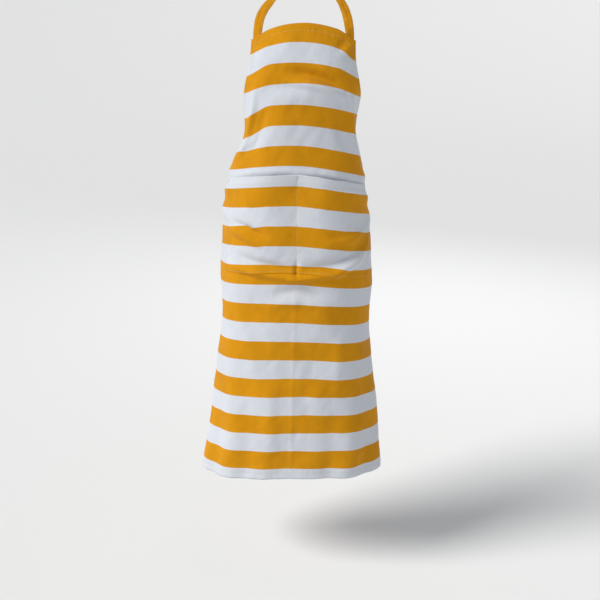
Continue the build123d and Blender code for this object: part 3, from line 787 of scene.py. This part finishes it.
def stitches(name, runs):
    """Separate lockstitches along each run of (points, outward directions)."""
    ring = np.arange(6) * np.pi / 3
    arch = np.array([-0.00016, 0.00014, 0.00024, 0.00014, -0.00016])
    thin = np.array([0.6, 1.0, 1.05, 1.0, 0.6])
    share = np.array([0.0, 0.14, 0.5, 0.86, 1.0])
    all_points, all_flat = [], []
    for points, out in runs:
        far = distance_along(points)
        count = int(far[-1] / STITCH)
        if count < 1:
            continue
        size = far[-1] / count
        at = (np.arange(count) * size + size * 0.1)[:, None] + share[None, :] * size * 0.8
        at = at + rng.normal(0, 0.00004, (count, 1))
        place = np.stack([np.interp(at, far, points[:, k]) for k in range(3)], -1)
        up = unit(np.stack([np.interp(at, far, out[:, k]) for k in range(3)], -1))
        way = unit(np.gradient(place, axis=1))
        side = unit(np.cross(way, up))
        middle = place + up * arch[None, :, None]
        radius = THREAD_RADIUS * thin[None, :, None, None]
        circle = (up[:, :, None, :] * np.cos(ring)[None, None, :, None]
                  + side[:, :, None, :] * np.sin(ring)[None, None, :, None])
        all_points.append((middle[:, :, None, :] + radius * circle).reshape(-1, 3))
        seen = np.broadcast_to(at[:, :, None], (count, 5, 6)).reshape(-1)
        all_flat.append(np.stack([seen, seen * 0, seen * 0], -1))
    points = np.concatenate(all_points)
    total = len(points) // 30
    index = np.arange(30).reshape(5, 6)
    index = np.concatenate([index, index[:, :1]], 1)
    caps = np.array([[0, 1, 2, 3], [0, 3, 4, 5], [27, 26, 25, 24], [29, 28, 27, 24]])
    one = np.concatenate([grid_faces(index), caps])
    faces = (one[None, :, :] + 30 * np.arange(total)[:, None, None]).reshape(-1, 4)
    return piece_of(name, points, faces, np.concatenate(all_flat))


def cloth_run(u, v, lift, sign=1):
    u, v = np.broadcast_arrays(np.asarray(u, float), np.asarray(v, float))
    return cloth.at(u, v, lift), sign * cloth.out(u, v)


def panel_threads():
    runs = {"bib_top_stitching": (steps(-BIB_HALF + 0.003, BIB_HALF - 0.003, 0.002), TOP_STITCH),
            "bottom_stitching": (steps(-SKIRT_HALF + 0.003, SKIRT_HALF - 0.003, 0.002),
                                 LENGTH - BOTTOM_STITCH)}
    for side, word in SIDES:
        u, v, in_u, in_v = side_edge(side, 0.003, LENGTH - 0.003)
        runs["edge_stitching_" + word] = (u + in_u * SIDE_STITCH, v + in_v * SIDE_STITCH)
    return {name: stitches(name, [cloth_run(u, v, CLOTH), cloth_run(u, v, BEHIND, -1)])
            for name, (u, v) in runs.items()}


def pocket_threads():
    inset = POCKET_HALF - POCKET_STITCH
    low = POCKET_TOP + POCKET_DEPTH - POCKET_STITCH
    down = steps(POCKET_TOP + 0.002, low, 0.002)
    across = steps(-inset, inset, 0.002)

    def front(u, v):
        u, v = np.broadcast_arrays(np.asarray(u, float), np.asarray(v, float))
        return [cloth_run(u, v, pocket_lift(u, v) + CLOTH)]

    def both(u, v):
        return front(u, v) + [cloth_run(u, v, 0.0, -1)]

    short = steps(0, 0.012, 0.002)
    bars = []
    for u in (-inset, 0.0, inset):
        for shift in (-0.0012, 0.0012):
            bars += both(u + shift, POCKET_TOP + 0.002 + short)
    seam = both(-inset, down) + both(across, low) + both(inset, down)
    mouth_u = steps(-POCKET_HALF + 0.002, POCKET_HALF - 0.002, 0.002)
    seam += front(mouth_u, POCKET_TOP + MOUTH_STITCH)
    return {"pocket_seam_stitching": stitches("pocket_seam_stitching", seam + bars),
            "pocket_divider_stitching": stitches("pocket_divider_stitching", both(0.0, down))}


# ---- materials

class Socket:
    """A node socket that can be used in sums."""

    def __init__(self, tree, link):
        self.tree, self.link = tree, link

    def maths(self, operation, *values):
        return self.tree.add("ShaderNodeMath", {"operation": operation}, dict(enumerate(values)))

    def __add__(self, other):
        return self.maths("ADD", self, other)

    def __sub__(self, other):
        return self.maths("SUBTRACT", self, other)

    def __rsub__(self, other):
        return self.maths("SUBTRACT", other, self)

    def __mul__(self, other):
        return self.maths("MULTIPLY", self, other)

    __radd__ = __add__
    __rmul__ = __mul__

    def fraction(self):
        return self.maths("FRACT", self)

    def size(self):
        return self.maths("ABSOLUTE", self)

    def sine(self):
        return self.maths("SINE", self)

    def ramp(self, low, high):
        return self.tree.add("ShaderNodeMapRange", {"interpolation_type": "SMOOTHSTEP"},
                             {"Value": self, "From Min": low, "From Max": high})


class Finish:
    """One material's node tree."""

    def __init__(self, name):
        self.material = bpy.data.materials.new(name)
        self.material.use_nodes = True
        self.nodes = self.material.node_tree.nodes
        self.shader = self.nodes["Principled BSDF"]

    def add(self, kind, settings, inputs, output=0):
        """Adds a node: its settings first, then the values or links of its sockets."""
        node = self.nodes.new(kind)
        for key, value in settings.items():
            setattr(node, key, value)
        for key, value in inputs.items():
            self.put(node.inputs[key], value)
        return Socket(self, node.outputs[output])

    def put(self, socket, value):
        if isinstance(value, Socket):
            self.material.node_tree.links.new(value.link, socket)
        elif hasattr(value, "__len__"):
            socket.default_value = value[:len(socket.default_value)]
        else:
            socket.default_value = value

    def set(self, **values):
        for key, value in values.items():
            self.put(self.shader.inputs[key.replace("_", " ")], value)

    def flat_place(self):
        """Across, along and edge distance, in metres on the flat cloth."""
        vector = self.add("ShaderNodeAttribute", {"attribute_name": "flat"}, {}, "Vector")
        parts = self.nodes.new("ShaderNodeSeparateXYZ")
        self.put(parts.inputs[0], vector)
        return vector, [Socket(self, parts.outputs[k]) for k in range(3)]

    def noise(self, vector, detail, frequency):
        """Noise with its own frequency across, along and square to the cloth."""
        moved = self.add("ShaderNodeVectorMath", {"operation": "MULTIPLY"}, {0: vector, 1: frequency})
        return self.add("ShaderNodeTexNoise", {}, {"Vector": moved, "Scale": 1.0, "Detail": detail,
                                                   "Roughness": 0.6})

    def mix(self, share, first, second):
        node = self.nodes.new("ShaderNodeMix")
        node.data_type = "RGBA"
        self.put(node.inputs["Factor"], share)
        for socket in node.inputs:
            if socket.type == "RGBA":
                self.put(socket, first if socket.name == "A" else second)
        return Socket(self, [s for s in node.outputs if s.type == "RGBA"][0])

    def shade(self, colour, amount):
        """The colour made lighter or darker by a factor that changes over the surface."""
        return self.add("ShaderNodeVectorMath", {"operation": "SCALE"}, {0: colour, "Scale": amount})

    def bump(self, height, distance):
        self.set(Normal=self.add("ShaderNodeBump", {}, {"Height": height, "Distance": distance,
                                                        "Strength": 1.0}))


YELLOW = (0.64, 0.272, 0.002, 1)
YELLOW_DEEP = (0.57, 0.24, 0.001, 1)
WHITE = (0.61, 0.635, 0.69, 1)
# The thread's colour: a beige darkened towards grey, with painted shade of the stitch lines in it.
THREAD_COLOUR_AND_PAINTED_SHADE = (0.58, 0.5, 0.32, 1)
YARN = 0.001                  # the weave's repeat, two threads


def canvas(name, striped, slub=1.0):
    """Plain-woven cotton canvas, yarn-dyed: in stripes, or yellow all over."""
    finish = Finish(name)
    vector, (across, along_cloth, edge) = finish.flat_place()
    warp_slub = finish.noise(vector, 4.0, (1700, 90, 1))
    weft_slub = finish.noise(vector, 4.0, (80, 1900, 1))
    mottle = finish.noise(vector, 3.0, (16, 11, 1))
    dust = finish.noise(vector, 5.0, (240, 240, 1))
    yellow = finish.mix(mottle.ramp(0.3, 0.7), YELLOW_DEEP, YELLOW)
    colour = yellow
    if striped:
        wander = (finish.noise(vector, 2.0, (900, 30, 1)) - 0.5) * 0.0006
        place = ((along_cloth + wander + STRIPE_START) * (1 / STRIPE_PITCH)).fraction()
        inside = (0.25 - (place - 0.25).size()) * STRIPE_PITCH
        colour = finish.mix(inside.ramp(-0.0003, 0.0003), WHITE, yellow)
    thread = (warp_slub - 0.5) * (0.16 * slub) + (weft_slub - 0.5) * (0.2 * slub)
    wear = edge.ramp(0.0016, 0.0) * 0.1
    colour = finish.shade(colour, 1.0 + thread + wear + (dust - 0.5) * 0.05 + (mottle - 0.5) * 0.06)
    weave = (across * (2 * math.pi / YARN)).sine() * (along_cloth * (2 * math.pi / YARN)).sine()
    height = weave * 0.25 + warp_slub * 0.6 + weft_slub * 0.8 + dust * 0.35
    finish.bump(height, 0.00022)
    finish.set(Base_Color=colour, Roughness=0.82 + (dust - 0.5) * 0.14, Sheen_Weight=0.06,
               Sheen_Roughness=0.45, Specular_IOR_Level=0.14)
    return finish.material


def thread_finish():
    """Two-ply sewing thread, a little shiny. Its beige is darkened towards grey, as painted shade of the
    stitch lines.
    """
    finish = Finish("cream_thread")
    vector, (along_thread, _, _) = finish.flat_place()
    ply = (along_thread * (2 * math.pi / 0.0006)).sine()
    age = finish.noise(vector, 2.0, (60, 60, 60))
    finish.bump(ply, 0.00006)
    finish.set(Base_Color=finish.shade(THREAD_COLOUR_AND_PAINTED_SHADE, 0.86 + age * 0.28), Roughness=0.5 + age * 0.1,
               Sheen_Weight=0.1, Specular_IOR_Level=0.4)
    return finish.material


# ---- putting it together

FINISHES = {"striped_canvas": canvas("striped_canvas", True),
            "yellow_tape": canvas("yellow_tape", False, 0.8),
            "cream_thread": thread_finish()}


def dress(obj, slot, body, *nodes):
    """Gives a piece its finish, the body that it moves with and the nodes that it stands for."""
    obj.data.materials.append(FINISHES[slot])
    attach(obj, body)
    if nodes:
        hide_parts(*nodes)
    return obj


panel = dress(main_panel(), "striped_canvas", "apron", "apron_panel")
turned = turned_edges()
dress(turned["bib_top_turn"], "striped_canvas", "apron", "bib_top_hem")
dress(turned["bottom_turn"], "striped_canvas", "apron", "bottom_hem")
for _, word in SIDES:
    dress(turned["armhole_turn_" + word], "striped_canvas", "apron", "armhole_facing_" + word)
    dress(turned["side_turn_" + word], "striped_canvas", "apron", "side_hem_" + word)
pocket = dress(pocket_panel(), "striped_canvas", "apron", "pocket_panel")
mouth = dress(pocket_mouth(), "striped_canvas", "apron", "pocket_mouth_hem_left", "pocket_mouth_hem_right")
strap = neck_strap()
strap_piece = dress(strap.make("neck_strap_tape"), "yellow_tape", "apron", "neck_strap")
dress(bow_knot(), "yellow_tape", "apron", "bow_knot")

# The tapes behind: each kind's maker, its name, how it is held and what it rests on
TAPES = {"tie": (waist_tie, "waist_tie", "stretched", "canvas_panel"),
         "loop": (bow_loop, "bow_loop", "folded", "bow_knot_wrap"),
         "tail": (tie_tail, "tie_tail", "hung", "bow_knot_wrap")}
KINDS = [(kind, side, word) for side, word in SIDES for kind in TAPES]


def body_of(kind, word):
    return "apron" if kind == "tie" else kind + "_" + word


tapes, tape_pieces, tape_stitching = {}, {}, {}
for kind, side, word in KINDS:
    shape, name, _, _ = TAPES[kind]
    tape = tapes[kind, word] = shape(side)
    tape_pieces[kind, word] = dress(tape.make(name + "_tape_" + word), "yellow_tape", body_of(kind, word),
                                    name + "_" + word)

threads = panel_threads()
dress(threads["bib_top_stitching"], "cream_thread", "apron", "bib_top_thread")
dress(threads["bottom_stitching"], "cream_thread", "apron", "bottom_hem_thread")
for _, word in SIDES:
    dress(threads["edge_stitching_" + word], "cream_thread", "apron", "edge_thread_" + word)
pocket_stitching = pocket_threads()
for name in ("pocket_seam", "pocket_divider"):
    dress(pocket_stitching[name + "_stitching"], "cream_thread", "apron", name + "_thread")

strap_stitching = dress(stitches("strap_edge_stitching", strap.edge_runs()), "cream_thread", "apron")
TACK = np.array((0.004, 0.026))
tacks = {"left": strap.box_runs(*(strap.length - TACK[::-1])), "right": strap.box_runs(*TACK)}
for side, word in SIDES:
    for name, runs in (("strap_tack", tacks[word]), ("tie_tack", tapes["tie", word].box_runs(*TACK))):
        dress(stitches(name + "_stitching_" + word, runs), "cream_thread", "apron", name + "_" + word)
    for kind in TAPES:
        made = stitches(kind + "_edge_stitching_" + word, tapes[kind, word].edge_runs())
        tape_stitching[kind, word] = dress(made, "cream_thread", body_of(kind, word))

# Lists of the turned edges, the threads, the pocket's mouth and its stitching, which nothing uses
list(turned.values()) + list(threads.values())
[mouth] + list(pocket_stitching.values())


# ---- floor, light and camera

FLOOR_DROP = 0.26              # from the apron's lowest point down to the floor
FLOOR_FLAT, FLOOR_REACH, FLOOR_RISE = 8.0, 60.0, 24.0
CAMERA_AT, LENS = (0.012, -2.5, -0.046), 60.5
CAMERA_DOWN, CAMERA_ROLL = 16.9, 1.89

def floor():
    """A wide floor that is flat round the apron and rises far away, so that it fills the view."""
    reach = np.concatenate([[0, 4.0], np.linspace(FLOOR_FLAT, FLOOR_REACH, 30)])
    rise = FLOOR_RISE * (np.clip(reach - FLOOR_FLAT, 0, None) / (FLOOR_REACH - FLOOR_FLAT)) ** 1.6
    turn = np.linspace(0, 2 * np.pi, 97)[:-1]
    across, away = np.meshgrid(turn, reach)
    place = np.stack([away * np.cos(across), away * np.sin(across), across * 0], -1)
    place[..., 2] = CAD_BOX[0][2] - FLOOR_DROP + rise[:, None]
    index = np.arange(across.size).reshape(across.shape)
    index = np.concatenate([index, index[:, :1]], 1)
    ground = piece_of("floor", place.reshape(-1, 3), grid_faces(index)[:, ::-1])
    finish = Finish("pale_floor")
    finish.set(Base_Color=(0.84, 0.84, 0.84, 1), Roughness=1.0, Specular_IOR_Level=0.0)
    ground.data.materials.append(finish.material)


def lamp(name, kind, place, target, size, power, colour):
    data = bpy.data.lights.new(name, kind)
    if kind == "SUN":
        data.angle = math.radians(size)
    else:
        data.shape = "DISK"
        data.size = size
    data.energy = power
    data.color = colour
    made = bpy.data.objects.new(name, data)
    made.location = place
    made.rotation_euler = (Vector(target) - Vector(place)).to_track_quat("-Z", "Y").to_euler()
    bpy.context.scene.collection.objects.link(made)


def lights():
    centre = (0, -0.05, -0.62)
    lamp("key", "SUN", (-2.8, -1.3, 1.9), centre, 24, 2.95, (1.0, 0.985, 0.95))
    lamp("fill", "AREA", (1.6, -3.2, 0.4), centre, 2.4, 3, (0.95, 0.97, 1.0))
    lamp("back", "AREA", (0.9, 2.8, 0.9), centre, 2.0, 22, (1.0, 1.0, 1.0))
    world = bpy.data.worlds.new("studio")
    world.use_nodes = True
    background = world.node_tree.nodes["Background"]
    background.inputs[0].default_value = (0.86, 0.93, 1.0, 1)
    background.inputs[1].default_value = 0.27
    bpy.context.scene.world = world


def camera():
    data = bpy.data.cameras.new("camera")
    data.sensor_width, data.lens = 36, LENS
    made = bpy.data.objects.new("camera", data)
    made.location = CAMERA_AT
    level = math.pi / 2 - math.radians(CAMERA_DOWN)
    turn = Matrix.Rotation(level, 3, "X") @ Matrix.Rotation(math.radians(CAMERA_ROLL), 3, "Z")
    made.rotation_euler = turn.to_euler()
    bpy.context.scene.collection.objects.link(made)
    bpy.context.scene.camera = made


floor()
lights()
camera()
bpy.context.scene.view_settings.view_transform = "Standard"

bpy.context.view_layer.update()
